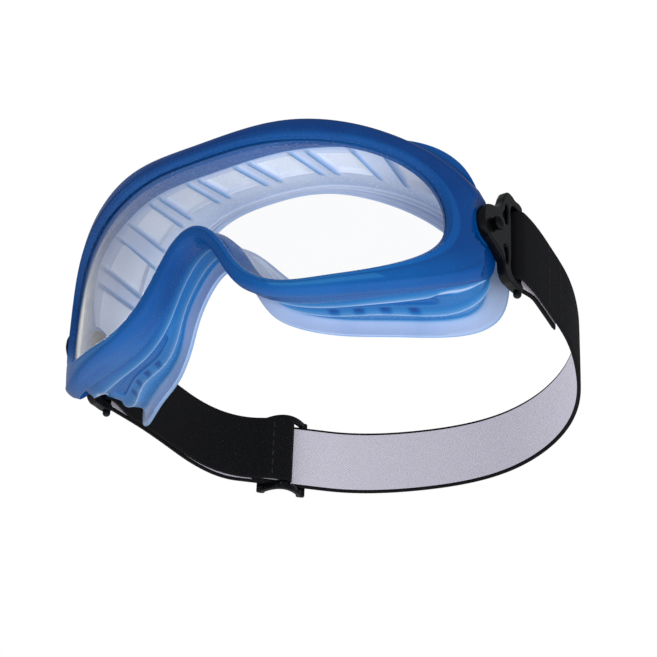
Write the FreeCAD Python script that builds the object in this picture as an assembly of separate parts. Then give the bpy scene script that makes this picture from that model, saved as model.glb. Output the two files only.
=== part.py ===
"""Safety goggles: soft moulded frame, wrap-round lens, swivelling strap clips and elastic strap.

Frame of the part, as worn: X runs across the face with +X to the wearer's left, the lens
faces -Y, +Z is up. The origin lies midway between the two strap pivots, whose axis is X.
Each physical piece is one STEP file in parts/. All sizes are in millimetres.
"""
import FreeCAD, Part
import math
import os
from FreeCAD import Vector as V

# ---- driving dimensions: lens and frame -----------------------------------------------------
LENS_RADIUS = 112.0         # outer face of the wrap-round lens, axis vertical
LENS_APEX_Y = -46.0         # foremost line of the lens face
LENS_THICKNESS = 2.2
LENS_GRIP = 3.4             # how far the lens edge reaches into its groove
GROOVE_CLEARANCE = 0.25     # round the lens edge and on both faces
LIP_THICKNESS = 2.0         # front lip of the frame, ahead of the lens
BEZEL_DEPTH = 7.0           # side of the heavy front band
WALL = 2.4                  # soft wall between band and face flange
WALL_INSET = 4.2            # wall behind the band's outer edge
RIDGE_HEIGHT = 1.7          # moulded ridges that run round the wall
CHANNEL_DEPTH = 0.5         # floor of the channel between the two ridges
WALL_END = 0.92             # where the wall turns out into the flange, as a share of the way
LIP_ROUND = 1.2             # slope of the front lip beside the lens
BAND_ROUND = 1.8            # slope of the band's outer front edge
BAND_TUCK = 0.8             # how far the band's side leans in towards the wall
FLANGE_APEX_Y = -6.0        # face flange at the middle of the forehead
FLANGE_CURVE = 0.0075       # its depth grows with the square of the distance from the middle
FLANGE_THICKNESS = 1.6
FLANGE_LIP = 6.0            # free edge of the flange outside the wall

# Half outlines (x, z) from the top middle round the temple to the nose, mirrored in code.
BAND_OUTER = [(0, 33.5), (17, 34.5), (35, 35), (58, 29.5), (76, 17.5), (86, 3), (86.5, -15),
              (71, -23), (52, -26.5), (32, -26), (17, -18.5), (7.5, -5.5), (0, -1.5)]
BAND_INNER = [(0, 27.5), (16, 28), (32, 27.5), (54, 21.5), (68, 12), (74, 1), (71.5, -11),
              (60, -17.5), (46, -21), (30, -20.5), (19, -12), (9.5, 0.5), (0, 4.5)]
FACE_OUTER = [(0, 40), (18, 40), (36, 38), (57, 30), (71, 15), (77, -2), (74, -19),
              (62, -29), (45, -34.5), (30, -33), (18, -25), (9.5, -15), (0, -10.5)]
FACE_OPENING = [(0, 31.5), (16, 31.5), (31, 29), (49, 21), (61, 9), (66, -4), (62, -16),
                (51, -22.5), (38, -24), (28, -20), (20, -8), (11, 1.5), (0, 5)]

# Half lists, point by point with the outlines: shares of the way from band to flange.
BAND_REAR = [.04, .04, .04, .03, .02, .00, -.06, .05, .15, .21, .18, .14, .12]
RIDGE_FRONT = [.25, .25, .25, .24, .23, .21, .20, .28, .34, .37, .34, .31, .28]
CHANNEL_FRONT = [.40, .40, .40, .39, .38, .35, .33, .40, .43, .50, .46, .43, .41]
CHANNEL_BACK = [.58, .58, .58, .57, .56, .53, .50, .61, .57, .62, .58, .56, .56]
RIDGE_BACK = [.72, .72, .72, .71, .70, .67, .66, .77, .69, .74, .72, .70, .70]

# ---- driving dimensions: vents ----------------------------------------------------------------
WINDOW_COUNT = 9            # recessed vent windows under the brow
WINDOW_LENGTH = 11.5        # along the wall
WINDOW_WIDTH = 12.0         # from front to back
WINDOW_DEPTH = 1.1
CHEEK_WINDOWS = 3           # on each side, inside the lower wall

# ---- driving dimensions: pivots and clips --------------------------------------------------
SEAT_X = 82.6               # outer face of the temple seat, where the clip runs
SEAT_RADIUS = 9.6           # round recess that clears the clip's eye
LUG_RADIUS = 7.4            # block inside the temple that holds the stud
LUG_INNER_X = 76.6          # floor of the washer recess inside the temple
STUD_RADIUS = 1.5
STUD_CLEARANCE = 0.05       # running fit of the clip on the stud
STUD_HEAD_RADIUS = 2.4
STUD_HEAD_LENGTH = 1.2
STUD_DOME = 1.4             # sloped crown of the outer head
WASHER_RADIUS = 5.2
WASHER_THICKNESS = 1.4
WASHER_CLEARANCE = 0.4      # recess round the washer
CLIP_THICKNESS = 3.2
CLIP_SIDE_GAP = 0.4         # clip to temple seat and to stud head
EYE_RADIUS = 6.8
BAR_Y = 17.0                # strap bar behind the pivot
BAR_THICKNESS = 2.8         # front to back
BAR_TAIL = 3.6              # lower end of the bar, below its rail
CROSS_Y = 9.6               # cross-piece ahead of the webbing slot
CROSS_THICKNESS = 2.4
FAN_TOP = 16.6              # half height of the clip at the bar
ARM_WIDTH = 3.4
ARM_ROOT = (2.4, 3.0)       # where each arm leaves the eye, behind and off the pivot
ARM_ROOT_WIDTH = 5.4        # the arms taper from here to ARM_WIDTH
EAR_RADIUS = 2.3            # rounded upper corner
BEND = (7.2, 7.6)           # bend of the lower arm
SWING_UP = 40               # the strap swings this far up from level, in degrees
SWING_DOWN = 25
ARM_EDGE_ANGLE = 72         # from level to the outer edge of a clip arm, with clearance

# ---- driving dimensions: strap and slider ----------------------------------------------------
STRAP_WIDTH = 26.0
STRAP_THICKNESS = 1.5
BAR_GAP = 0.45              # webbing to the clip's bar
LAYER_GAP = 0.7             # between main strap and return layer
WRAP_LEAD = 14.0            # where an inner layer leaves the main strap for the clip's bar
BACK_POINTS = [(84.5, 40), (81, 58), (73, 81), (60, 105), (38, 127), (8, 139.5), (-26, 136)]
SLIDE_END = (-57.0, 119.0)  # straight stretch that the slider runs on
SLIDE_START = (-82.0, 94.0)
SIDE_POINTS = [(-87.6, 80), (-87.6, 60), (-86.6, 38)]
SLIDER_LENGTH = 19.0
SLIDER_RAIL = 2.6
SLIDER_BAR = 3.4            # width of each bar along the strap
SLIDER_THICKNESS = 1.9
SLIDER_CLEARANCE = 0.35
SLIDER_TRAVEL = 4.5
SEWN_END = 34.0             # right end of the strap, folded round the bar and sewn
LOOP_GAP = 0.15             # webbing to the slider's middle bar
LOOP_REACH = 7.0            # visible layer of the loop, ahead of the middle bar
TAIL = 12.0                 # hidden sewn tail, ahead of the middle bar
RETURN_START = 12.2         # where the return layer begins, ahead of the middle bar
STITCH_THICKNESS = 0.7
STITCH_LENGTH = 2.6
STITCH_PITCH = 4.0
STITCH_PROUD = 0.12         # thread above the webbing
SEAM_MARGIN = 2.0           # seam to the webbing's cut end
SEAM_PITCH = 12.0

LENS_AXIS_Y = LENS_APEX_Y + LENS_RADIUS
CLIP_X0 = SEAT_X + CLIP_SIDE_GAP
CLIP_X1 = CLIP_X0 + CLIP_THICKNESS
BAR_X = (CLIP_X0 + CLIP_X1) / 2
SMALL = 0.01
RECESS_REACH = 9.0          # longer than any recess at the temple is deep
SWEEP_STEPS = 12


# ---- outlines -----------------------------------------------------------------------------------
def mirrored(half):
    """Full closed outline from a half outline that starts and ends on the middle plane."""
    return list(half) + [(-x, z) for x, z in half[-2:0:-1]]


def inward_normals(outline):
    """Unit normals in the XZ plane, towards the inside of a clockwise outline."""
    count = len(outline)
    normals = []
    for i in range(count):
        before = outline[i - 1]
        after = outline[(i + 1) % count]
        dx = after[0] - before[0]
        dz = after[1] - before[1]
        length = math.hypot(dx, dz)
        normals.append((dz / length, -dx / length))
    return normals


BAND = mirrored(BAND_OUTER)
LENS_EDGE = mirrored(BAND_INNER)
FACE = mirrored(FACE_OUTER)
OPENING = mirrored(FACE_OPENING)
NORMALS = inward_normals(BAND)


def lens_y(x):
    """Front face of the lens: a vertical cylinder."""
    return LENS_APEX_Y + LENS_RADIUS - math.sqrt(LENS_RADIUS ** 2 - x * x)


def face_y(x):
    """Face flange: a parabola that follows the brow from temple to temple."""
    return FLANGE_APEX_Y + FLANGE_CURVE * x * x


def inset(outline, distance):
    """Outline moved inwards along the band's normals."""
    return [(x + nx * distance, z + nz * distance)
            for (x, z), (nx, nz) in zip(outline, NORMALS)]


def blend(a, b, t):
    return a + (b - a) * t


def loop_parameters():
    """Chord lengths along the band, shared by every loop so that their points match."""
    values = [0.0]
    for i in range(len(BAND)):
        a = BAND[i]
        b = BAND[(i + 1) % len(BAND)]
        values.append(values[-1] + math.sqrt(math.hypot(b[0] - a[0], b[1] - a[1])))
    return values


PARAMETERS = loop_parameters()


def closed_edge(points):
    curve = Part.BSplineCurve()
    curve.interpolate(Points=points, PeriodicFlag=True, Parameters=PARAMETERS)
    return curve.toShape()


def lens_loop(outline, behind):
    """Closed edge on the lens cylinder, moved back along its radius, as a lens edge is cut."""
    points = []
    for x, z in outline:
        share = 1 - behind / LENS_RADIUS
        points.append(V(x * share, LENS_AXIS_Y - (LENS_AXIS_Y - lens_y(x)) * share, z))
    return closed_edge(points)


def band_loop(outline, behind):
    """Closed edge on the front band, moved straight back from the lens face."""
    return closed_edge([V(x, lens_y(x) + behind, z) for x, z in outline])


def face_loop(outline, behind):
    """Closed edge on the face curve, moved back by the given distance."""
    return closed_edge([V(x, face_y(x) + behind, z) for x, z in outline])


def wall_loop(place, depth):
    """Closed edge on the wall: place runs from the band (0) to the flange (1).

    It is one share for the whole loop, or a half list of shares that is mirrored.
    """
    front = inset(BAND, WALL_INSET)
    back = inset(FACE, FLANGE_LIP)
    shares = [place] * len(BAND)
    if isinstance(place, list):
        shares = place + place[-2:0:-1]
    points = []
    for (fx, fz), (bx, bz), (nx, nz), t in zip(front, back, NORMALS, shares):
        x = blend(fx, bx, t) + nx * depth
        z = blend(fz, bz, t) + nz * depth
        y = blend(lens_y(fx) + BEZEL_DEPTH, face_y(bx), t)
        points.append(V(x, y, z))
    return closed_edge(points)


def ring_solid(loops):
    """Solid of revolution-like section: ruled faces between one closed edge and the next."""
    faces = []
    for i in range(len(loops)):
        faces.append(Part.makeRuledSurface(loops[i], loops[(i + 1) % len(loops)]))
    shell = Part.Shell(faces)
    shell.sewShape()
    solid = Part.Solid(shell if shell.ShapeType == "Shell" else shell.Shells[0])
    solid.fix(SMALL, SMALL, SMALL)
    if solid.Volume < 0:
        solid.reverse()
    return solid


# ---- frame ----------------------------------------------------------------------------------------
def frame_body():
    """One soft moulding: front band with lens groove, ridged wall and face flange."""
    groove = inset(LENS_EDGE, -LENS_GRIP - GROOVE_CLEARANCE)
    lens_back = LENS_THICKNESS + GROOVE_CLEARANCE
    outside = [
        lens_loop(LENS_EDGE, -GROOVE_CLEARANCE),
        lens_loop(inset(LENS_EDGE, -LIP_ROUND), -LIP_THICKNESS),
        band_loop(inset(BAND, BAND_ROUND), -LIP_THICKNESS),
        band_loop(BAND, BEZEL_DEPTH * 0.3),
        band_loop(inset(BAND, BAND_TUCK), BEZEL_DEPTH * 0.85),
        wall_loop(BAND_REAR, 0.0),
    ]
    ridges = [
        wall_loop(RIDGE_FRONT, -RIDGE_HEIGHT),
        wall_loop(CHANNEL_FRONT, CHANNEL_DEPTH),
        wall_loop(CHANNEL_BACK, CHANNEL_DEPTH),
        wall_loop(RIDGE_BACK, -RIDGE_HEIGHT * 0.7),
    ]
    flange = [
        wall_loop(WALL_END, 0.0),
        face_loop(FACE, -FLANGE_THICKNESS * 0.2),
        face_loop(inset(FACE, 0.4), FLANGE_THICKNESS),
        face_loop(OPENING, FLANGE_THICKNESS * 0.4),
        face_loop(inset(OPENING, -0.4), -FLANGE_THICKNESS * 0.7),
    ]
    inside = [
        wall_loop(WALL_END - 0.04, WALL),
        wall_loop(0.5, WALL),
        wall_loop(0.10, WALL),
        lens_loop(inset(LENS_EDGE, -0.2), lens_back + 2.0),
        lens_loop(LENS_EDGE, lens_back),
        lens_loop(groove, lens_back),
        lens_loop(groove, -GROOVE_CLEARANCE),
    ]
    return ring_solid(outside + ridges + flange + inside)


def x_cylinder(radius, x0, x1, y=0.0, z=0.0):
    """Cylinder along X between two stations."""
    return Part.makeCylinder(radius, abs(x1 - x0), V(min(x0, x1), y, z), V(1, 0, 0))


def on_side(shape, side):
    """The shape as made for the wearer's left (+X), or its mirror image."""
    if side > 0:
        return shape
    return shape.mirror(V(0, 0, 0), V(1, 0, 0))


def wall_station(position, t):
    """Point on the wall's inner face with its directions: along, backwards and outwards."""
    position = position % PARAMETERS[-1]
    here = wall_loop(t, WALL)
    point = here.valueAt(position)
    along = here.tangentAt(position)
    back = wall_loop(t + 0.1, WALL).valueAt(position) - wall_loop(t - 0.1, WALL).valueAt(position)
    out = along.cross(back).normalize()
    centre = V(0, point.y, 5)
    if out.dot(point - centre) < 0:
        out = out * -1
    back = out.cross(along).normalize()
    return point, along, back, out


def wall_block(position, t, length, width, depth_in, depth_out):
    """Block on the wall's inner face, square to it, from depth_in inside to depth_out."""
    point, along, back, out = wall_station(position, t)
    corner = point - along * (length / 2) - back * (width / 2) - out * depth_in
    face = Part.Face(Part.makePolygon([corner, corner + along * length,
                                       corner + along * length + back * width,
                                       corner + back * width, corner]))
    return face.extrude(out * (depth_in + depth_out))


def brow_windows():
    """Recessed vent windows between pairs of ribs, under the brow from temple to temple."""
    reach = PARAMETERS[4] + 0.9
    blocks = []
    for i in range(WINDOW_COUNT):
        position = -reach + 2 * reach * i / (WINDOW_COUNT - 1)
        blocks.append(wall_block(position, 0.45, WINDOW_LENGTH, WINDOW_WIDTH, 4.0, WINDOW_DEPTH))
    return blocks


def cheek_windows():
    """Recessed windows inside the lower wall, from the temple towards the nose."""
    first = PARAMETERS[6]
    last = PARAMETERS[9]
    blocks = []
    for i in range(CHEEK_WINDOWS):
        position = blend(first, last, (i + 0.5) / CHEEK_WINDOWS)
        for place in (position, PARAMETERS[-1] - position):
            blocks.append(wall_block(place, 0.45, WINDOW_LENGTH, WINDOW_WIDTH, 4.0, WINDOW_DEPTH))
    return blocks


def swing_clearance():
    """Wedge about the left pivot that the clip's lower arm sweeps as the strap swings down."""
    reach = math.hypot(BAR_Y + BAR_THICKNESS, FAN_TOP) + CLIP_SIDE_GAP
    lowest = ARM_EDGE_ANGLE + SWING_DOWN
    corners = [V(SEAT_X, 0, 0)]
    for i in range(SWEEP_STEPS + 1):
        angle = math.radians(-lowest * (1 - i / SWEEP_STEPS))
        corners.append(V(SEAT_X, reach * math.cos(angle), reach * math.sin(angle)))
    return Part.Face(Part.makePolygon(corners + corners[:1])).extrude(V(RECESS_REACH, 0, 0))


def make_frame():
    """The soft moulding with its temple lugs, clip seats, stud holes and vents."""
    frame = frame_body()
    for side in (1, -1):
        frame = frame.fuse(on_side(x_cylinder(LUG_RADIUS, LUG_INNER_X, SEAT_X), side))
    tools = brow_windows() + cheek_windows()
    for side in (1, -1):
        tools.append(on_side(x_cylinder(SEAT_RADIUS, SEAT_X, SEAT_X + RECESS_REACH), side))
        tools.append(on_side(swing_clearance(), side))
        hole = STUD_RADIUS + STUD_CLEARANCE
        tools.append(on_side(x_cylinder(hole, LUG_INNER_X - 1, SEAT_X + 1), side))
        recess = WASHER_RADIUS + WASHER_CLEARANCE
        tools.append(on_side(x_cylinder(recess, LUG_INNER_X - RECESS_REACH, LUG_INNER_X), side))
    return frame.cut(tools)


# ---- lens -------------------------------------------------------------------------------------------
def make_lens():
    """Wrap-round lens: a tube cut by a plug whose walls all point at the tube's axis."""
    edge = inset(LENS_EDGE, -LENS_GRIP)
    wires = []
    for y in (LENS_APEX_Y - 8, LENS_AXIS_Y - 30):
        points = [V(x * (LENS_AXIS_Y - y) / (LENS_AXIS_Y - lens_y(x)), y, z) for x, z in edge]
        wires.append(Part.Wire([closed_edge(points)]))
    plug = Part.makeLoft(wires, True, True)
    base = V(0, LENS_AXIS_Y, -LENS_RADIUS)
    tube = Part.makeCylinder(LENS_RADIUS, 2 * LENS_RADIUS, base)
    tube = tube.cut(Part.makeCylinder(LENS_RADIUS - LENS_THICKNESS, 2 * LENS_RADIUS, base))
    front = Part.makeBox(2 * LENS_RADIUS, LENS_RADIUS, 2 * LENS_RADIUS,
                         V(-LENS_RADIUS, LENS_APEX_Y - SMALL, -LENS_RADIUS))
    return tube.common(front).common(plug)


# ---- pivots ------------------------------------------------------------------------------------------
def make_stud(side):
    """Headed stud: inner flange, shank through washer, lug and clip, and a domed snap head."""
    washer_x = LUG_INNER_X - WASHER_THICKNESS
    shank = x_cylinder(STUD_RADIUS, washer_x, CLIP_X1 + CLIP_SIDE_GAP)
    inner = x_cylinder(STUD_HEAD_RADIUS, washer_x - STUD_HEAD_LENGTH, washer_x)
    head_x = CLIP_X1 + CLIP_SIDE_GAP
    head = x_cylinder(STUD_HEAD_RADIUS, head_x, head_x + STUD_HEAD_LENGTH)
    dome_x = head_x + STUD_HEAD_LENGTH
    dome = Part.makeCone(STUD_HEAD_RADIUS, STUD_HEAD_RADIUS - STUD_DOME, STUD_DOME,
                         V(dome_x, 0, 0), V(1, 0, 0))
    return on_side(shank.fuse([inner, head, dome]).removeSplitter(), side)


def make_washer(side):
    """Backing washer that spreads the stud's pull over the soft lug."""
    washer = x_cylinder(WASHER_RADIUS, LUG_INNER_X - WASHER_THICKNESS, LUG_INNER_X)
    bore = x_cylinder(STUD_RADIUS + STUD_CLEARANCE, LUG_INNER_X - 3, LUG_INNER_X + 1)
    return on_side(washer.cut(bore), side)


# ---- clips ---------------------------------------------------------------------------------------------
def member(start, start_width, end, end_width):
    """Tapered member of the clip's plate with round ends, between two (y, z) points."""
    dy = end[0] - start[0]
    dz = end[1] - start[1]
    length = math.hypot(dy, dz)
    lean = (start_width - end_width) / 2 / length
    square = math.sqrt(1 - lean * lean)
    corners = []
    for (y, z), width, up in ((start, start_width, 1), (end, end_width, 1),
                              (end, end_width, -1), (start, start_width, -1)):
        ny = (dy * lean - up * dz * square) / length
        nz = (dz * lean + up * dy * square) / length
        corners.append(V(CLIP_X0, y + ny * width / 2, z + nz * width / 2))
    web = Part.Face(Part.makePolygon(corners + corners[:1])).extrude(V(CLIP_THICKNESS, 0, 0))
    ends = [x_cylinder(width / 2, CLIP_X0, CLIP_X1, *point)
            for point, width in ((start, start_width), (end, end_width))]
    return web.fuse(ends)


def make_clip(side):
    """Strap clip: eye on the stud, two spreading arms, cross-piece, rails and strap bar."""
    rail_z = FAN_TOP - ARM_WIDTH / 2
    top = (CROSS_Y, rail_z)
    foot = (CROSS_Y, -rail_z)
    bend = (BEND[0], -BEND[1])
    bend_width = (ARM_ROOT_WIDTH + ARM_WIDTH) / 2
    members = [
        member(ARM_ROOT, ARM_ROOT_WIDTH, top, ARM_WIDTH),
        member((ARM_ROOT[0], -ARM_ROOT[1]), ARM_ROOT_WIDTH, bend, bend_width),
        member(bend, bend_width, foot, ARM_WIDTH),
        member(top, 2 * EAR_RADIUS, (BAR_Y, rail_z), ARM_WIDTH),
        member(foot, ARM_WIDTH, (BAR_Y, -rail_z), ARM_WIDTH),
        member(foot, CROSS_THICKNESS, top, CROSS_THICKNESS),
    ]
    members.append(Part.makeCylinder(BAR_THICKNESS / 2, 2 * rail_z + BAR_TAIL,
                                     V(BAR_X, BAR_Y, -rail_z - BAR_TAIL)))
    clip = x_cylinder(EYE_RADIUS, CLIP_X0, CLIP_X1).fuse(members)
    clip = clip.cut(x_cylinder(STUD_RADIUS + STUD_CLEARANCE, CLIP_X0 - 1, CLIP_X1 + 1))
    return on_side(clip.removeSplitter(), side)


# ---- strap ---------------------------------------------------------------------------------------------
def spline(points, first=None, last=None):
    """Smooth plan curve through (x, y) points, with optional end directions."""
    curve = Part.BSplineCurve()
    options = {}
    if first is not None:
        options = {"InitialTangent": V(*first, 0), "FinalTangent": V(*last, 0)}
    curve.interpolate(Points=[V(x, y, 0) for x, y in points], **options)
    return curve


def offset_points(curve, distance, count):
    """Points beside a plan curve, distance to its left."""
    points = []
    for i in range(count + 1):
        u = blend(curve.FirstParameter, curve.LastParameter, i / count)
        point = curve.value(u)
        along = curve.tangent(u)[0]
        points.append(V(point.x - along.y * distance, point.y + along.x * distance, 0))
    return points


def webbing(curve, count, thickness=STRAP_THICKNESS, width=STRAP_WIDTH):
    """Flat webbing that stands on edge along a plan curve."""
    sides = []
    for distance in (thickness / 2, -thickness / 2):
        points = offset_points(curve, distance, count)
        if count == 1:
            sides.append(Part.LineSegment(*points).toShape())
        else:
            side = Part.BSplineCurve()
            side.interpolate(Points=points)
            sides.append(side.toShape())
    a, b = sides
    ends = [Part.LineSegment(a.valueAt(a.FirstParameter), b.valueAt(b.FirstParameter)).toShape(),
            Part.LineSegment(a.valueAt(a.LastParameter), b.valueAt(b.LastParameter)).toShape()]
    face = Part.Face(Part.Wire(Part.__sortEdges__([a, ends[1], b, ends[0]])))
    strip = face.extrude(V(0, 0, width))
    strip.translate(V(0, 0, -width / 2))
    return strip


def turn_round(centre_x, centre_y, radius, thickness=STRAP_THICKNESS, width=STRAP_WIDTH):
    """Half turn of webbing round the front of a bar."""
    base = V(centre_x, centre_y, -width / 2)
    tube = Part.makeCylinder(radius + thickness / 2, width, base)
    tube = tube.cut(Part.makeCylinder(radius - thickness / 2, width, base))
    reach = radius + thickness
    half = Part.makeBox(2 * reach, reach, width, V(centre_x - reach, centre_y - reach, -width / 2))
    return tube.common(half)


WRAP_RADIUS = BAR_THICKNESS / 2 + BAR_GAP + STRAP_THICKNESS / 2
OUTER_X = BAR_X + WRAP_RADIUS
INNER_X = BAR_X - WRAP_RADIUS
LAYER_PITCH = STRAP_THICKNESS + LAYER_GAP
RETURN_OFFSET = 2 * STRAP_THICKNESS + SLIDER_CLEARANCE + LAYER_GAP
SLIDE_LENGTH = math.hypot(SLIDE_END[0] - SLIDE_START[0], SLIDE_END[1] - SLIDE_START[1])
SLIDE_X = (SLIDE_START[0] - SLIDE_END[0]) / SLIDE_LENGTH
SLIDE_Y = (SLIDE_START[1] - SLIDE_END[1]) / SLIDE_LENGTH


def back_curve():
    """From the left clip's bar (+X) round the back of the head to the straight stretch."""
    points = [(OUTER_X, BAR_Y)] + BACK_POINTS + [SLIDE_END]
    return spline(points, (0, 1), (SLIDE_X, SLIDE_Y))


def side_curve():
    """From the straight stretch forward to the right clip's bar (-X)."""
    points = [SLIDE_START] + SIDE_POINTS + [(-OUTER_X, BAR_Y)]
    return spline(points, (SLIDE_X, SLIDE_Y), (0, -1))


def slide_point(distance, offset):
    """Point beside the straight stretch: distance from its rear end, offset towards the head."""
    return (SLIDE_END[0] + SLIDE_X * distance - SLIDE_Y * offset,
            SLIDE_END[1] + SLIDE_Y * distance + SLIDE_X * offset)


def sewn_layer():
    """Left end of the strap, folded round the bar and back along its inner side."""
    main = back_curve()
    points = [(INNER_X, BAR_Y)]
    for length in (WRAP_LEAD, WRAP_LEAD + 6.0, SEWN_END):
        u = main.parameterAtDistance(length, main.FirstParameter)
        point = main.value(u)
        along = main.tangent(u)[0]
        points.append((point.x - along.y * LAYER_PITCH, point.y + along.x * LAYER_PITCH))
    return webbing(spline(points), 4)


def return_layer():
    """Adjusting end of the strap: from the right clip back inside to the slider."""
    main = side_curve()
    points = [slide_point(SLIDE_LENGTH / 2 + RETURN_START, RETURN_OFFSET),
              slide_point(SLIDE_LENGTH, RETURN_OFFSET)]
    reach = main.length() - WRAP_LEAD
    steps = 4
    for i in range(1, steps + 1):
        u = main.parameterAtDistance(reach * i / steps, main.FirstParameter)
        point = main.value(u)
        along = main.tangent(u)[0]
        offset = blend(RETURN_OFFSET, LAYER_PITCH, min(1.0, i / 2))
        points.append((point.x - along.y * offset, point.y + along.x * offset))
    points.append((-INNER_X, BAR_Y))
    return webbing(spline(points), 6)


def make_strap():
    """The whole elastic webbing: wraps, sewn end, back, straight stretch, side and return."""
    straight = Part.LineSegment(V(*SLIDE_END, 0), V(*SLIDE_START, 0))
    pieces = [webbing(back_curve(), 9), webbing(straight, 1), webbing(side_curve(), 5),
              sewn_layer(), return_layer(),
              turn_round(BAR_X, BAR_Y, WRAP_RADIUS), turn_round(-BAR_X, BAR_Y, WRAP_RADIUS)]
    return pieces[0].fuse(pieces[1:])


# ---- slider ---------------------------------------------------------------------------------------------
LOOP_OFFSET = STRAP_THICKNESS + SLIDER_CLEARANCE
LOOP_RADIUS = SLIDER_THICKNESS / 2 + LOOP_GAP + STRAP_THICKNESS / 2
BAR_OFFSET = LOOP_OFFSET + LOOP_RADIUS
END_OFFSET = -(STRAP_THICKNESS / 2 + SLIDER_CLEARANCE + SLIDER_THICKNESS / 2)
LOOP_FACE = BAR_OFFSET + LOOP_RADIUS
SLIDE_MIDDLE = SLIDE_LENGTH / 2


def upright(points, height, bottom):
    """Closed polygon in plan, extruded upwards."""
    corners = [V(x, y, bottom) for x, y in points]
    return Part.Face(Part.makePolygon(corners + corners[:1])).extrude(V(0, 0, height))


def post(distance, offset, radius, half_height):
    """Round upright beside the straight stretch."""
    x, y = slide_point(distance, offset)
    return Part.makeCylinder(radius, 2 * half_height, V(x, y, -half_height))


def slider_bar(distance, offset, half_height):
    """One upright bar of the slider with rounded edges, at a place on the straight stretch."""
    radius = SLIDER_THICKNESS / 2
    reach = SLIDER_BAR / 2 - radius
    corners = [slide_point(distance + dl * reach, offset + dn * radius)
               for dl, dn in ((-1, -1), (1, -1), (1, 1), (-1, 1))]
    bar = upright(corners, 2 * half_height, -half_height)
    return bar.fuse([post(distance + dl * reach, offset, radius, half_height) for dl in (-1, 1)])


def make_slider():
    """Three-bar slider: end bars outside the strap, middle bar inside, bowed side rails."""
    reach = (SLIDER_LENGTH - SLIDER_BAR) / 2
    half = STRAP_WIDTH / 2 + SLIDER_CLEARANCE + SLIDER_RAIL
    bars = [slider_bar(SLIDE_MIDDLE - reach, END_OFFSET, half),
            slider_bar(SLIDE_MIDDLE + reach, END_OFFSET, half),
            slider_bar(SLIDE_MIDDLE, BAR_OFFSET, half)]
    shoulder = blend(END_OFFSET, BAR_OFFSET, 0.55)
    bow = spline([slide_point(SLIDE_MIDDLE - reach, END_OFFSET),
                  slide_point(SLIDE_MIDDLE - reach / 2, shoulder),
                  slide_point(SLIDE_MIDDLE, BAR_OFFSET),
                  slide_point(SLIDE_MIDDLE + reach / 2, shoulder),
                  slide_point(SLIDE_MIDDLE + reach, END_OFFSET)])
    for up in (1, -1):
        rail = webbing(bow, 4, SLIDER_THICKNESS, SLIDER_RAIL)
        rail.translate(V(0, 0, up * (half - SLIDER_RAIL / 2)))
        bars.append(rail)
    return bars[0].fuse(bars[1:])


def make_end_loop():
    """Sewn loop at the end of the webbing: head side, round the middle bar, tail beneath."""
    turn_at = SLIDE_MIDDLE - SLIDER_BAR / 2 + SLIDER_THICKNESS / 2
    turn_x, turn_y = slide_point(turn_at, BAR_OFFSET)
    base = V(turn_x, turn_y, -STRAP_WIDTH / 2)
    ring = Part.makeCylinder(LOOP_RADIUS + STRAP_THICKNESS / 2, STRAP_WIDTH, base)
    ring = ring.cut(Part.makeCylinder(LOOP_RADIUS - STRAP_THICKNESS / 2, STRAP_WIDTH, base))
    reach = 2 * LOOP_RADIUS + STRAP_THICKNESS
    behind = [slide_point(turn_at, BAR_OFFSET - reach), slide_point(turn_at, BAR_OFFSET + reach),
              slide_point(turn_at - reach, BAR_OFFSET + reach),
              slide_point(turn_at - reach, BAR_OFFSET - reach)]
    layers = [ring.common(upright(behind, STRAP_WIDTH, -STRAP_WIDTH / 2))]
    for length, offset in ((TAIL, LOOP_OFFSET), (LOOP_REACH, LOOP_FACE)):
        ends = [slide_point(turn_at, offset), slide_point(SLIDE_MIDDLE + length, offset)]
        layers.append(webbing(Part.LineSegment(V(*ends[0], 0), V(*ends[1], 0)), 1))
    return layers[0].fuse(layers[1:])


# ---- stitching ------------------------------------------------------------------------------------------
def stitch_row(place, normal):
    """A seam across the webbing: short lengths of thread let into its face."""
    x, y = place
    nx, ny = normal
    half = STITCH_THICKNESS / 2
    inner = STRAP_THICKNESS / 2 - STITCH_THICKNESS
    outer = STRAP_THICKNESS / 2 + STITCH_PROUD
    section = [(x + nx * out - ny * side, y + ny * out + nx * side)
               for out, side in ((inner, -half), (outer, -half), (outer, half), (inner, half))]
    count = int((STRAP_WIDTH - STITCH_LENGTH) / STITCH_PITCH)
    threads = []
    for i in range(count + 1):
        z = (i - count / 2) * STITCH_PITCH - STITCH_LENGTH / 2
        threads.append(upright(section, STITCH_LENGTH, z))
    return threads


def left_seams():
    """Two seams through the sewn end at the left clip, shown on its outer face."""
    main = back_curve()
    threads = []
    for length in (SEWN_END - SEAM_MARGIN, SEWN_END - SEAM_MARGIN - SEAM_PITCH):
        u = main.parameterAtDistance(length, main.FirstParameter)
        point = main.value(u)
        along = main.tangent(u)[0]
        threads += stitch_row((point.x, point.y), (along.y, -along.x))
    return threads


def loop_seams():
    """Seam across the slider's loop, ahead of the middle bar, shown on the head side."""
    place = slide_point(SLIDE_MIDDLE + LOOP_REACH - SEAM_MARGIN, LOOP_FACE)
    return stitch_row(place, (-SLIDE_Y, SLIDE_X))


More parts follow.
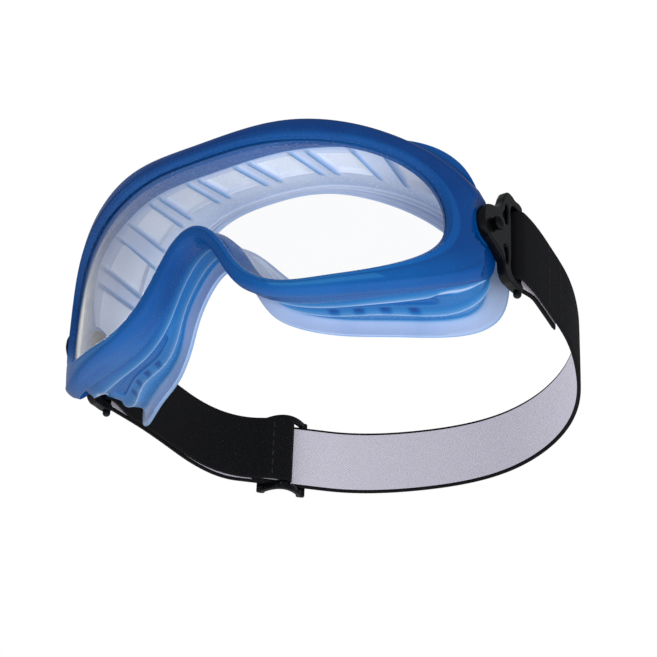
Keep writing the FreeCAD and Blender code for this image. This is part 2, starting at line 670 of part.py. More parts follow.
# ---- build ----------------------------------------------------------------------------------------------
def main():
    os.makedirs("parts", exist_ok=True)
    seams = {"stitching_left": left_seams(), "stitching_slider": loop_seams()}
    strap = make_strap().cut(seams["stitching_left"])
    loop = make_end_loop().cut(seams["stitching_slider"])
    nodes = {"frame": make_frame(), "lens": make_lens(), "strap": strap,
             "slider": make_slider(), "strap_end_loop": loop}
    for name, threads in seams.items():
        nodes[name] = Part.makeCompound(threads)
    for side, name in ((1, "left"), (-1, "right")):
        nodes["stud_" + name] = make_stud(side)
        nodes["washer_" + name] = make_washer(side)
        nodes["clip_" + name] = make_clip(side)
    for name, shape in nodes.items():
        shape.exportStep("parts/" + name + ".step")
        print(name, shape.isValid(), len(shape.Solids), round(shape.Volume / 1000, 3), "cm3")


main()
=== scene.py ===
"""Looks of a pair of safety goggles: translucent blue moulding, clear wrap-round lens,
black strap clips and black elastic webbing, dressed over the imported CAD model.

Metres in the part's own frame: X runs across the face with +X to the wearer's left, the lens
faces -Y and +Z is up. The origin lies midway between the two strap pivots.
Shapes are worked out in millimetres and scaled once, where each mesh is made.
"""
import math
import bpy
import numpy as np
from mathutils import Matrix


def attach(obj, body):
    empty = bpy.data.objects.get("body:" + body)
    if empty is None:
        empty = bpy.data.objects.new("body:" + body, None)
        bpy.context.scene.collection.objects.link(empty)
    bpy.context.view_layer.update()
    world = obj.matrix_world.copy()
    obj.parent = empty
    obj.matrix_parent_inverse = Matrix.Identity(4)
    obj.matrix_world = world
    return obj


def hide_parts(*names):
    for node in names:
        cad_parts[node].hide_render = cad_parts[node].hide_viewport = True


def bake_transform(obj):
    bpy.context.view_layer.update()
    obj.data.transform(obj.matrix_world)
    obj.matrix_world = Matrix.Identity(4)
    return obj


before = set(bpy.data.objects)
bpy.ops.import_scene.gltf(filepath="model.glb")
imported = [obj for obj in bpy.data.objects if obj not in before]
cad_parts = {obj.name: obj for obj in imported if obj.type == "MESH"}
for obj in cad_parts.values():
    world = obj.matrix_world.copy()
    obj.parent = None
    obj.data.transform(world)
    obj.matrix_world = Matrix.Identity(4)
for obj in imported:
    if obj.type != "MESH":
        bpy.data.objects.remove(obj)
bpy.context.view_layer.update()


# ---- camera, floor, lamps and background -----------------------------------------------------
# Seen from below and from the wearer's right front, with the lens towards the left.
# The floor is far below, so the goggles hang free before a plain white background.
azimuth = math.radians(34.5)
elevation = math.radians(-29.3)
roll = math.radians(2.2)
distance = 0.727
back = np.array([math.sin(azimuth) * math.cos(elevation),
                 -math.cos(azimuth) * math.cos(elevation), math.sin(elevation)])
level = np.array([math.cos(azimuth), math.sin(azimuth), 0.0])
upward = np.cross(back, level)
right = math.cos(roll) * level + math.sin(roll) * upward
up = -math.sin(roll) * level + math.cos(roll) * upward
location = back * distance + right * 0.0185 - up * 0.0124

camera_data = bpy.data.cameras.new("camera")
camera_data.lens = 117.1
camera_data.sensor_width = 36.0
camera_data.clip_start = 0.01
camera_data.clip_end = 20.0
camera = bpy.data.objects.new("camera", camera_data)
bpy.context.scene.collection.objects.link(camera)
camera.matrix_world = Matrix([(*axis, 0) for axis in (right, up, back)]
                             + [(*location, 1)]).transposed()
bpy.context.scene.camera = camera

floor_mesh = bpy.data.meshes.new("floor")
floor_mesh.from_pydata([(-3, -3, -0.9), (3, -3, -0.9), (3, 3, -0.9), (-3, 3, -0.9)], [],
                       [(0, 1, 2, 3)])
floor = bpy.data.objects.new("floor", floor_mesh)
bpy.context.scene.collection.objects.link(floor)
floor_material = bpy.data.materials.new("floor")
floor_material.use_nodes = True
floor_shader = floor_material.node_tree.nodes["Principled BSDF"]
floor_shader.inputs["Base Color"].default_value = (0.9, 0.9, 0.9, 1)
floor_shader.inputs["Roughness"].default_value = 0.9
floor_mesh.materials.append(floor_material)
floor.visible_camera = False
floor.visible_transmission = False


def soft_lamp(name, place, aim, size, power):
    """Square area lamp at place that shines towards aim."""
    data = bpy.data.lights.new(name, "AREA")
    data.shape = "SQUARE"
    data.size = size
    data.energy = power
    lamp = bpy.data.objects.new(name, data)
    bpy.context.scene.collection.objects.link(lamp)
    away = np.array(place, float) - np.array(aim, float)
    away /= np.linalg.norm(away)
    side = np.cross((0, 0, 1), away)
    side /= np.linalg.norm(side)
    top = np.cross(away, side)
    lamp.matrix_world = Matrix([(*axis, 0) for axis in (side, top, away)]
                               + [(*place, 1)]).transposed()
    lamp.visible_glossy = False


soft_lamp("key", (-0.75, 0.15, 0.85), (0, 0, 0), 0.6, 10.0)
soft_lamp("from_below", (0.75, -0.25, -0.70), (0, 0, 0), 0.6, 6.5)

world = bpy.data.worlds.new("world")
bpy.context.scene.world = world
world.use_nodes = True
sky = world.node_tree
sky.nodes.clear()
rays = sky.nodes.new("ShaderNodeLightPath")
seen = sky.nodes.new("ShaderNodeMath")
seen.operation = "MAXIMUM"
sky.links.new(rays.outputs["Is Camera Ray"], seen.inputs[0])
sky.links.new(rays.outputs["Is Transmission Ray"], seen.inputs[1])
white = sky.nodes.new("ShaderNodeBackground")
white.inputs["Strength"].default_value = 1.0
ambient = sky.nodes.new("ShaderNodeBackground")
ambient.inputs["Color"].default_value = (0.93, 0.96, 1.0, 1)
dimmed = sky.nodes.new("ShaderNodeMapRange")
dimmed.inputs["To Min"].default_value = 0.68
dimmed.inputs["To Max"].default_value = 0.30
sky.links.new(rays.outputs["Is Glossy Ray"], dimmed.inputs["Value"])
sky.links.new(dimmed.outputs["Result"], ambient.inputs["Strength"])
chosen = sky.nodes.new("ShaderNodeMixShader")
sky.links.new(seen.outputs["Value"], chosen.inputs["Fac"])
sky.links.new(ambient.outputs["Background"], chosen.inputs[1])
sky.links.new(white.outputs["Background"], chosen.inputs[2])
white.inputs["Color"].default_value = (1, 1, 1, 1)
world_output = sky.nodes.new("ShaderNodeOutputWorld")
sky.links.new(chosen.outputs["Shader"], world_output.inputs["Surface"])
bpy.context.scene.view_settings.view_transform = "Standard"


# ---- frame moulding --------------------------------------------------------------------------
# One soft, translucent vinyl moulding, cast in a single shot. Closed rows run round it from the
# lens lip over the band, the ridged outer wall and the face flange, then forward again along
# the inner wall to the groove that holds the lens. Its depth of colour goes with the rows,
# and so do the painted highlights and painted shade that some rows carry.
band_half = [(0, 33.5), (17, 34.5), (35, 35), (58, 30), (77, 18.5), (86, 3.5), (86.5, -16),
             (71, -27), (52, -31), (32, -31), (17, -24), (7.5, -10), (0, -4.5)]
lens_half = [(0, 27.5), (16, 28), (32, 27.5), (54, 23.5), (69.5, 14.5), (75.5, 2), (73.5, -13),
             (61, -22), (46, -25.5), (30, -25.5), (18, -17), (9, -4), (0, 1)]
face_half = [(0, 40), (18, 40), (36, 38), (57, 30), (70, 15), (75, -2), (73.5, -19),
             (63, -27.3), (47, -29.3), (31, -29.5), (18, -26), (10, -14.5), (0, -5)]
opening_half = [(0, 31.5), (16, 31.5), (31, 29), (49, 21), (61, 9), (65, -3), (61.5, -12),
                (52, -18.5), (41, -20.5), (30, -19), (20, -11.5), (11, -2.5), (0, 2.5)]
# How far the face curve comes forward at each point of face_half.
face_forward = [0, 0, 0, 0, 2, 8, 10, 9, 9, 11, 17, 20, 20]
LENS_RADIUS = 105.0
LENS_APEX = -46.0
LENS_THICKNESS = 2.2
BEZEL = 7.0
WALL = 2.4
LIP = 5.0                   # free edge of the face flange outside the wall
SEAT_X = 82.6               # plane of the temple seat, where the clip runs
SEAT_RADIUS = 9.6
ARM_SWEEP = 25.5            # reach of the clip's arms, between two angles about the pivot
SWEEP_FROM = -99
SWEEP_TO = 112
CUT_SLOPE = 1.1
COLUMNS = 720


def ease(x):
    """Smooth step: 0 below 0, 1 above 1, 3x^2 - 2x^3 between."""
    x = np.clip(x, 0, 1)
    return x * x * (3 - 2 * x)


def mirrored(half):
    """Closed outline from a half outline that starts and ends on the middle plane."""
    half = np.array(half, float)
    return np.vstack([half, half[-2:0:-1] * (-1, 1)])


band, lens_edge, face, opening = map(mirrored, (band_half, lens_half, face_half, opening_half))
nearer = np.array(face_forward + face_forward[-2:0:-1], float)
chord = np.roll(band, -1, 0) - np.roll(band, 1, 0)
inward = np.stack([chord[:, 1], -chord[:, 0]], 1) / np.linalg.norm(chord, axis=1)[:, None]
steps = np.sqrt(np.linalg.norm(np.roll(band, -1, 0) - band, axis=1))
knots = np.concatenate([[0], np.cumsum(steps)])


def closed_spline(points, at):
    """Periodic cubic spline through the outline's points at the shared knots."""
    points = np.asarray(points, float).reshape(len(band), -1)
    count = len(points)
    gaps = np.diff(knots)
    system = np.zeros((count, count))
    load = np.zeros_like(points)
    for i in range(count):
        before, after = gaps[i - 1], gaps[i]
        system[i, i - 1] += before
        system[i, i] += 2 * (before + after)
        system[i, (i + 1) % count] += after
        load[i] = 6 * ((points[(i + 1) % count] - points[i]) / after
                       - (points[i] - points[i - 1]) / before)
    bend = np.linalg.solve(system, load)
    at = np.mod(at, knots[-1])
    j = np.clip(np.searchsorted(knots, at, "right") - 1, 0, count - 1)
    k = (j + 1) % count
    gap = gaps[j][:, None]
    a = (knots[j + 1] - at)[:, None]
    b = (at - knots[j])[:, None]
    return (a ** 3 / (6 * gap) * bend[j] + b ** 3 / (6 * gap) * bend[k]
            + (points[j] / gap - bend[j] * gap / 6) * a
            + (points[k] / gap - bend[k] * gap / 6) * b)


def lens_y(x):
    """Depth of the lens cylinder at x: its apex plus the arc's sagitta."""
    return LENS_APEX + LENS_RADIUS - np.sqrt(LENS_RADIUS ** 2 - x * x)


def face_y(x, forward):
    """Depth of the face curve: a parabola in x, brought forward at cheeks and nose."""
    return -6.0 + 0.0075 * x * x - forward


def inset(outline, amount):
    """Outline moved towards its inside along the band's inward directions."""
    return outline + inward * amount


wall_front = inset(band, 4.2)
wall_front = np.stack([wall_front[:, 0], lens_y(wall_front[:, 0]) + BEZEL, wall_front[:, 1]], 1)
wall_back = inset(face, LIP)
wall_back = np.stack([wall_back[:, 0], face_y(wall_back[:, 0], nearer), wall_back[:, 1]], 1)
fine = np.linspace(0, knots[-1], 6001)
middle = closed_spline((wall_front + wall_back) / 2, fine)
walk = np.concatenate([[0], np.cumsum(np.linalg.norm(np.diff(middle, axis=0), axis=1))])
at = np.interp(np.arange(COLUMNS) / COLUMNS * walk[-1], walk, fine)
arc = np.arange(COLUMNS) / COLUMNS * walk[-1]
knot = np.interp(at, knots, np.arange(len(knots)))
mirror_knot = np.minimum(knot, len(band) - knot)
F = closed_spline(wall_front, at)
B = closed_spline(wall_back, at)
N = closed_spline(np.stack([inward[:, 0], 0 * inward[:, 0], inward[:, 1]], 1), at)
span = np.linalg.norm(B - F, axis=1)


def half_values(values):
    """One number per outline point on a half, mirrored and spread over the columns."""
    return closed_spline(values + values[-2:0:-1], at)[:, 0]


SHOULDER = 7.5              # swelling of the wall above each temple
SHOULDER_KNOT = 3.7
SHOULDER_REACH = 0.95       # in knots
shoulder = SHOULDER * np.exp(-((mirror_knot - SHOULDER_KNOT) / SHOULDER_REACH) ** 2)


def wall(t, depth):
    """Point of the wall: F + (B - F) t + N depth, depth counted inwards.

    A shoulder above each temple swells the front of the wall outwards.
    """
    t = np.reshape(t, (-1, 1))
    swell = shoulder[:, None] * (1 - ease(t / 0.75))
    return F + (B - F) * t + N * (np.reshape(depth, (-1, 1)) - swell)


def on_lens(outline, behind):
    """Row of an outline laid on the lens cylinder, moved back along its radius."""
    xz = closed_spline(outline, at)
    share = 1 - behind / LENS_RADIUS
    axis_y = LENS_APEX + LENS_RADIUS
    return np.stack([xz[:, 0] * share, axis_y - (axis_y - lens_y(xz[:, 0])) * share, xz[:, 1]], 1)


def on_band(outline, behind):
    """Row of an outline laid on the lens cylinder, moved straight back."""
    xz = closed_spline(outline, at)
    return np.stack([xz[:, 0], lens_y(xz[:, 0]) + behind, xz[:, 1]], 1)


def on_face(outline, behind):
    """Row of an outline laid on the face curve, moved straight back."""
    xz = closed_spline(outline, at)
    forward = closed_spline(nearer, at)[:, 0]
    return np.stack([xz[:, 0], face_y(xz[:, 0], forward) + behind, xz[:, 1]], 1)


def quarter(a, b, count, y_first):
    """Rows from a to b on a quarter ellipse that leaves a along Y or in the XZ plane."""
    rows = []
    for theta in np.linspace(0, math.pi / 2, count + 1)[1:]:
        early, late = math.sin(theta), 1 - math.cos(theta)
        share_y, share_xz = (early, late) if y_first else (late, early)
        rows.append(a + (b - a) * (share_xz, share_y, share_xz))
    return rows


def bent(a, corner, b, count):
    """Rows from a to b on the parabola that turns at the corner."""
    return [a * (1 - u) ** 2 + corner * 2 * u * (1 - u) + b * u * u
            for u in np.linspace(0, 1, count + 1)[1:]]


rows = []
tint = []


def add(new_rows, new_tint):
    """Append rows with their tint: 0 is the thin pale wall, 1 the deep blue band. Some tints hold
    painted highlight and painted shade.
    """
    for i, row in enumerate(new_rows):
        rows.append(row)
        share = (i + 1) / len(new_rows)
        value = new_tint(share) if callable(new_tint) else new_tint
        tint.append(np.broadcast_to(value, COLUMNS))


LENS_FIT = 0.03             # gap between the lens and the lips of its groove
BAND_RISE = 2.0             # how far the band stands in front of the lens
BAND_ROUND = 1.8
rim = on_lens(lens_edge, -LENS_FIT)
rim_front = on_lens(inset(lens_edge, -1.2), -BAND_RISE)
band_front = on_band(inset(band, BAND_ROUND), -BAND_RISE)
band_side = on_band(band, BEZEL * 0.3)
band_rear = on_band(inset(band, 0.8), BEZEL * 0.85)
band_end = half_values([.04, .04, .04, .03, .02, .00, -.06, .05, .15, .21, .18, .14, .12])
band_tint = half_values([1, 1, 1, 1, 1, 1, .95, .84, .80, .80, .88, .92, .92])
low_bar = ease((mirror_knot - 7.3) / 0.08) * ease((9.15 - mirror_knot) / 0.08)
add([rim], band_tint - 0.12)
add(quarter(rim, rim_front, 4, True), band_tint - 0.10)
for u in (0.06, 0.16, 0.22, 0.30, 0.45, 0.60, 0.75, 0.90, 1.0):
    row = rim_front + (band_front - rim_front) * u
    row[:, 1] -= 0.35 * math.sin(math.pi * u) - 0.30 * math.exp(-((u - 0.2) / 0.05) ** 2)
    pale = 0.16 * low_bar * math.exp(-((u - 0.6) / 0.24) ** 4)
    add([row], band_tint - pale - (0.02 if u > 0.2 else 0.10))
add(quarter(band_front, band_side, 6, False), band_tint)
add([band_side + (band_rear - band_side) * u for u in (0.33, 0.67, 1.0)], band_tint)
band_rear_first = len(rows)
add(quarter(band_rear, wall(band_end, 0), 7, True), lambda u: band_tint - 0.15 * u)

ridge_front = half_values([.25, .25, .25, .24, .23, .21, .20, .28, .34, .37, .34, .31, .28])
channel_front = half_values([.40, .40, .40, .39, .38, .35, .33, .40, .43, .50, .46, .43, .41])
channel_back = half_values([.58, .58, .58, .57, .56, .53, .50, .61, .57, .62, .58, .56, .56])
ridge_back = half_values([.72, .72, .72, .71, .70, .67, .66, .77, .69, .74, .72, .70, .70])
WALL_END = 0.92
CREST = 1.7
CHANNEL = 0.5


def arc_at(number):
    """Length along the wall at a place counted in knots, so 6.5 is midway from 6 to 7."""
    return np.interp(number, np.arange(len(knots)), np.interp(knots, fine, walk))


# A long slot with round ends is let into the channel under each cheek. Before each temple lies
# a leaf-shaped hollow. Four blocks behind each slot, thicker in the real moulding, are made only
# as darker tint.
slot_from = arc_at(6.95)
slot_to = arc_at(9.75)
SLOT_HOLLOW = 0.75
along = np.minimum(arc, walk[-1] - arc)
leaf_at = arc_at(6.55)
LEAF_PLACE = 0.30           # share of the wall
LEAF_LONG = 9.5             # half sizes
LEAF_WIDE = 2.6
LEAF_HOLLOW = 0.7
BLOCK_HALF = 1.9            # half length of a block
CREST_HIGHLIGHT = 0.16           # how much paler each crest is painted: a painted highlight line
block_places = arc_at(7.45 + 0.45 * np.arange(4))
blocks = np.exp(-((along[:, None] - block_places[None, :]) / BLOCK_HALF) ** 4).max(1)


def slot_depth(across):
    """Depth of the slot at a share across the channel, with round ends."""
    half_width = span * (channel_back - channel_front) / 2 * 0.86
    outside = np.maximum(slot_from + half_width - along, along - slot_to + half_width)
    offset = (across - 0.5) * span * (channel_back - channel_front)
    reach = np.hypot(np.maximum(outside, 0), offset) - half_width
    return SLOT_HOLLOW * ease(-reach / 0.8)


def outer(t, depth, value):
    """Add a row of the outer wall, with a leaf-shaped hollow before each temple.

    The leaf's half width is a parabola along it, and run goes from -1 to 1 over its length.
    """
    run = np.clip((along - leaf_at) / LEAF_LONG, -1, 1)
    off = np.abs(t - LEAF_PLACE + 0.02 * run) * span / (LEAF_WIDE * (1 - run * run) + 0.05)
    leaf = ease((1 - off) * 2.2) * (1 - run ** 8)
    add([wall(t, depth + LEAF_HOLLOW * leaf)], value * (1 - leaf) + 0.16 * leaf)


def segment(t0, t1, d0, d1, count, bow, tint0, tint1, lump=0.0):
    """Rows between two places on the wall, with depth and tint on a power curve.

    bow > 0 meets the far crest sharply, and its last row is painted paler as a highlight line;
    lump darkens the rows' middle at the blocks.
    """
    for i in range(1, count + 1):
        u = i / count
        share = u ** 1.9 if bow > 0 else 1 - (1 - u) ** 1.9
        line = CREST_HIGHLIGHT if bow > 0 and i == count else 0.0
        line = line - lump * blocks * math.exp(-((u - 0.5) / 0.38) ** 4)
        outer(t0 + (t1 - t0) * u, d0 + (d1 - d0) * share, tint0 + (tint1 - tint0) * share - line)


# The outer wall's tint is painted paler on the crests and darker in the channel: painted
# highlight and painted shade.
segment(band_end, ridge_front, 0.0, -CREST, 7, 1, 0.85, 0.40)
segment(ridge_front, channel_front, -CREST, CHANNEL, 7, -1, 0.40, 0.76)
for i in range(1, 11):
    u = i / 10
    cut = slot_depth(u)
    # The slot is painted darker the deeper it is cut: painted shade in the hollow.
    add([wall(channel_front + (channel_back - channel_front) * u, CHANNEL + cut)],
        0.66 + 0.16 * cut)
segment(channel_back, ridge_back, CHANNEL, -CREST * 0.7, 8, 1, 0.70, 0.40, 0.30)
segment(ridge_back, np.full(COLUMNS, WALL_END), -CREST * 0.7, 0.0, 6, -1, 0.40, 0.62)

lip_front = on_face(face, -0.32)
lip_back = on_face(inset(face, 0.4), 1.6)
edge_front = on_face(inset(opening, -0.4), -1.12)
edge_back = on_face(opening, 0.64)
add(bent(wall(WALL_END, 0), wall(1.0, 0), lip_front, 9), lambda u: 0.19 + 0.43 * (1 - u) ** 4)
for u in (0.25, 0.5, 0.75, 1.0):
    row = lip_front + (lip_back - lip_front) * u - N * 0.55 * math.sin(math.pi * u)
    add([row], 0.32)
add([lip_back + (edge_back - lip_back) * u for u in np.linspace(0.12, 1, 8)], 0.14)
for u in (0.33, 0.67, 1.0):
    row = edge_back + (edge_front - edge_back) * u + N * 0.45 * math.sin(math.pi * u)
    add([row], 0.22)
inner_first = len(rows)
RIM_ROLLS = 3               # rounded lines that run round the flange inside
ROLL_RISE = 0.35
rim_rows = bent(edge_front, wall(0.985, WALL), wall(WALL_END - 0.04, WALL), 5 * RIM_ROLLS)
# Each roll is painted paler where it rises and darker between rolls: painted highlight and
# painted shade.
for i, row in enumerate(rim_rows):
    rise = math.sin(2 * math.pi * (i + 0.5) / 5)
    add([row + N * ROLL_RISE * rise], 0.13 - 0.09 * rise)

# Inside, windows are let into the wall under the brow and over the cheeks, each between two
# ribs that run from front to back, with a raised ledge along its rear edge.
places = [-(knots[4] + 0.9) + 2 * (knots[4] + 0.9) * i / 8 for i in range(9)]
for i in range(3):
    place = knots[6] + (knots[9] - knots[6]) * (i + 0.5) / 3
    places += [place, knots[-1] - place]
centres = np.interp(np.mod(places, knots[-1]), fine, walk)
gap_to = arc[:, None] - centres[None, :]
gap_to = np.abs((gap_to + walk[-1] / 2) % walk[-1] - walk[-1] / 2).min(1)
WINDOW_LONG = 6.2           # half sizes of a window, along the wall and across it
WINDOW_WIDE = 5.8
WINDOW_CORNER = 0.8
WINDOW_EDGE = 0.55          # width of its sloping edge
WINDOW_PLACE = 0.37         # share of the wall at which windows are centred
BROW_HOLLOW = 1.1
CHEEK_HOLLOW = 0.45
RIB_PLACE = 7.6             # from the window's middle
RIB_HALF = 0.85
RIB_RISE = 0.95
LEDGE_PLACE = 6.8
LEDGE_RISE = 0.6


def inner_row(b):
    """Inner wall b millimetres behind the middle of the windows, with its tint.

    A window is a rounded box in (gap_to, b): its edge distance is the hypotenuse of what lies
    outside it in both directions. Ribs and ledges are bell curves in gap_to and in b.
    """
    reach_a = gap_to - WINDOW_LONG
    reach_b = abs(b) - WINDOW_WIDE
    box = np.hypot(np.maximum(reach_a, 0), max(reach_b, 0)) + np.minimum(
        np.maximum(reach_a, reach_b), 0) - WINDOW_CORNER
    window = ease(-box / WINDOW_EDGE)
    fade = float(ease((11.0 - abs(b)) / 3))
    rib = np.exp(-((gap_to - RIB_PLACE) / RIB_HALF) ** 4) * fade
    ledge = math.exp(-((b - LEDGE_PLACE) / 0.45) ** 2) * ease((WINDOW_LONG + 0.4 - gap_to) / 0.8)
    hollow = np.where(mirror_knot < 5.5, BROW_HOLLOW, CHEEK_HOLLOW)
    depth = WALL - hollow * window + RIB_RISE * rib + LEDGE_RISE * ledge
    # The ledges are painted paler than the wall around them: a painted highlight.
    shade = 0.13 - 0.11 * window + 0.27 * rib - 0.12 * ledge
    return wall(WINDOW_PLACE + b / np.maximum(span, 30), depth), shade


for b in (11.5, 10.0, 8.8, 7.8, 7.3, 6.9, 6.5, 6.1, 5.9, 5.5, 5.0, 4.0, 2.0, 0.0, -2.0, -4.0,
          -5.0, -5.5, -5.9, -6.2, -6.6, -7.2, -8.0):
    row, shade = inner_row(b)
    add([row], shade)
GROOVE = 3.65               # depth of the lens groove
GROOVE_BEHIND = 2.45        # rear side of the groove, and of the lip behind it
LIP_BEHIND = 4.45
add([wall(0.088, WALL)], 0.25)
add([wall(0.074, WALL), wall(0.03, WALL)], 0.84)
add([on_lens(inset(lens_edge, -0.2), LIP_BEHIND), on_lens(lens_edge, GROOVE_BEHIND)], 0.84)
add([on_lens(inset(lens_edge, -GROOVE), GROOVE_BEHIND),
     on_lens(inset(lens_edge, -GROOVE), -LENS_FIT)], 0.8)

shell = np.stack(rows)
shade = np.stack(tint)

# The temple is cut flat where the clip runs: a round seat about the pivot, and the sector
# that the clip's arms sweep. Outside them the cut slopes away.
radius = np.hypot(shell[..., 1], shell[..., 2])
angle = np.degrees(np.arctan2(shell[..., 2], shell[..., 1]))
beside_sector = np.clip(np.maximum(angle - SWEEP_TO, SWEEP_FROM - angle), 0, 90)
off_sector = np.maximum(radius - ARM_SWEEP, radius * np.sin(np.radians(beside_sector)))
off_seat = np.maximum(0, np.minimum(radius - SEAT_RADIUS, off_sector))
widest = SEAT_X - 0.05 + CUT_SLOPE * off_seat
# The rows behind the band and those of the inner wall keep further in, so the cut leaves a
# skin of some thickness.
tuck = np.zeros(len(rows))
tuck[band_rear_first:band_rear_first + 14] = 1.3 * (7.5 - np.abs(np.arange(14) - 6.5)) / 7
tuck[inner_first:] = WALL
widest -= tuck[:, None]
shell[..., 0] = np.clip(shell[..., 0], -widest, widest)


def grid_object(name, points, body, values=None, round_rows=False, round_columns=False,
                flip=False, sharp=40):
    """Quads over points[row, column] in millimetres, closed in either direction if asked.

    values holds named per-point numbers of the same rows and columns, for the materials.
    """
    rows, columns = points.shape[:2]
    index = np.arange(rows * columns).reshape(rows, columns)
    row = np.arange(rows if round_rows else rows - 1)
    column = np.arange(columns if round_columns else columns - 1)
    r, c = np.meshgrid(row, column, indexing="ij")
    r1 = (r + 1) % rows
    c1 = (c + 1) % columns
    corners = [index[r, c], index[r, c1], index[r1, c1], index[r1, c]]
    if flip:
        corners.reverse()
    faces = np.stack(corners, -1).reshape(-1, 4)
    mesh = bpy.data.meshes.new(name)
    mesh.from_pydata((points.reshape(-1, 3) * 0.001).tolist(), [], faces.tolist())
    for key, numbers in (values or {}).items():
        layer = mesh.attributes.new(key, "FLOAT", "POINT")
        layer.data.foreach_set("value", np.ascontiguousarray(numbers, np.float32).ravel())
    mesh.shade_smooth()
    mesh.set_sharp_from_angle(angle=math.radians(sharp))
    piece = bpy.data.objects.new(name, mesh)
    bpy.context.scene.collection.objects.link(piece)
    if body:
        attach(piece, body)
    return piece


moulding = grid_object("moulding", shell, "root", {"tint": shade},
                       round_rows=True, round_columns=True)
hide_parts("frame")


def revolve(name, profile, x_side, body, count=64, values=None):
    """Ring about the X axis through the pivots: profile lists (x, radius) pairs."""
    turn = np.linspace(0, 2 * math.pi, count, endpoint=False)
    profile = np.array(profile, float)
    x = np.repeat(profile[:, :1], count, 1) * x_side
    y = profile[:, 1:] * np.cos(turn)
    z = profile[:, 1:] * np.sin(turn)
    return grid_object(name, np.stack([x, y, z], -1), body, values, round_columns=True,
                       flip=x_side < 0, sharp=50)


LUG_RADIUS = 7.4
LUG_INNER = 76.6
lugs = []
for side, name in ((1, "left"), (-1, "right")):
    profile = [(LUG_INNER, 0.01), (LUG_INNER, 6.6), (LUG_INNER + 0.3, 7.2),
               (LUG_INNER + 0.8, LUG_RADIUS), (SEAT_X - 0.7, LUG_RADIUS), (SEAT_X - 0.2, 7.2),
               (SEAT_X, 6.7), (SEAT_X, 2.2), (SEAT_X - 0.5, 1.7), (SEAT_X - 0.5, 0.01)]
    lug = revolve("temple_lug_" + name, profile, side, "root",
                  values={"tint": np.full((len(profile), 64), 0.8)})
    lugs.append(lug)


def new_material(name):
    """Material with a Principled shader wired to its output: material, node tree, shader."""
    material = bpy.data.materials.new(name)
    material.use_nodes = True
    return material, material.node_tree, material.node_tree.nodes["Principled BSDF"]


def attribute(tree, name):
    """Per-point number that a mesh carries under this name."""
    node = tree.nodes.new("ShaderNodeAttribute")
    node.attribute_name = name
    return node.outputs["Fac"]


def math_node(tree, operation, a, b=None, clamp=False):
    """Math node on sockets or plain numbers."""
    node = tree.nodes.new("ShaderNodeMath")
    node.operation = operation
    node.use_clamp = clamp
    for i, value in enumerate((a, b)):
        if value is None:
            continue
        if isinstance(value, (int, float)):
            node.inputs[i].default_value = value
        else:
            tree.links.new(value, node.inputs[i])
    return node.outputs["Value"]


def bump(tree, height, depth):
    """Normal of a height in the surface; depth is a number or a socket, in metres."""
    node = tree.nodes.new("ShaderNodeBump")
    node.inputs["Strength"].default_value = 1.0
    tree.links.new(height, node.inputs["Height"])
    if isinstance(depth, float):
        node.inputs["Distance"].default_value = depth
    else:
        tree.links.new(depth, node.inputs["Distance"])
    return node.outputs["Normal"]


def ramp(tree, value, stops):
    """Colour ramp with (place, linear colour) stops."""
    node = tree.nodes.new("ShaderNodeValToRGB")
    elements = node.color_ramp.elements
    while len(elements) < len(stops):
        elements.new(0.5)
    for element, (place, colour) in zip(elements, stops):
        element.position = place
        element.color = (*colour, 1)
    tree.links.new(value, node.inputs["Fac"])
    return node.outputs["Color"]


# Grain is shared by every finish: noise in Object coordinates, about 0.5, with a roughness
# of Smooth + Grain x (Rough - Smooth) and the normal of the grain at its depth.
grain_group = bpy.data.node_groups.new("grain", "ShaderNodeTree")
for socket_name in ("Scale", "Detail", "Smooth", "Rough", "Depth"):
    grain_group.interface.new_socket(socket_name, in_out="INPUT", socket_type="NodeSocketFloat")
for socket_name, kind in (("Grain", "Float"), ("Roughness", "Float"), ("Normal", "Vector")):
    grain_group.interface.new_socket(socket_name, in_out="OUTPUT",
                                     socket_type="NodeSocket" + kind)
given = grain_group.nodes.new("NodeGroupInput").outputs
result = grain_group.nodes.new("NodeGroupOutput").inputs
place = grain_group.nodes.new("ShaderNodeTexCoord")
speckle = grain_group.nodes.new("ShaderNodeTexNoise")
grain_group.links.new(place.outputs["Object"], speckle.inputs["Vector"])
grain_group.links.new(given["Scale"], speckle.inputs["Scale"])
grain_group.links.new(given["Detail"], speckle.inputs["Detail"])
grain_group.links.new(speckle.outputs["Fac"], result["Grain"])
extra = math_node(grain_group, "SUBTRACT", given["Rough"], given["Smooth"])
extra = math_node(grain_group, "MULTIPLY", speckle.outputs["Fac"], extra)
grain_group.links.new(math_node(grain_group, "ADD", extra, given["Smooth"]), result["Roughness"])
grain_group.links.new(bump(grain_group, speckle.outputs["Fac"], given["Depth"]),
                      result["Normal"])


def grain(tree, scale, detail=2.0, smooth=0.0, rough=1.0, depth=0.0):
    """The grain group placed in a material with its own values; gives its outputs."""
    node = tree.nodes.new("ShaderNodeGroup")
    node.node_tree = grain_group
    for name, value in (("Scale", scale), ("Detail", detail), ("Smooth", smooth),
                        ("Rough", rough), ("Depth", depth)):
        node.inputs[name].default_value = value
    return node.outputs


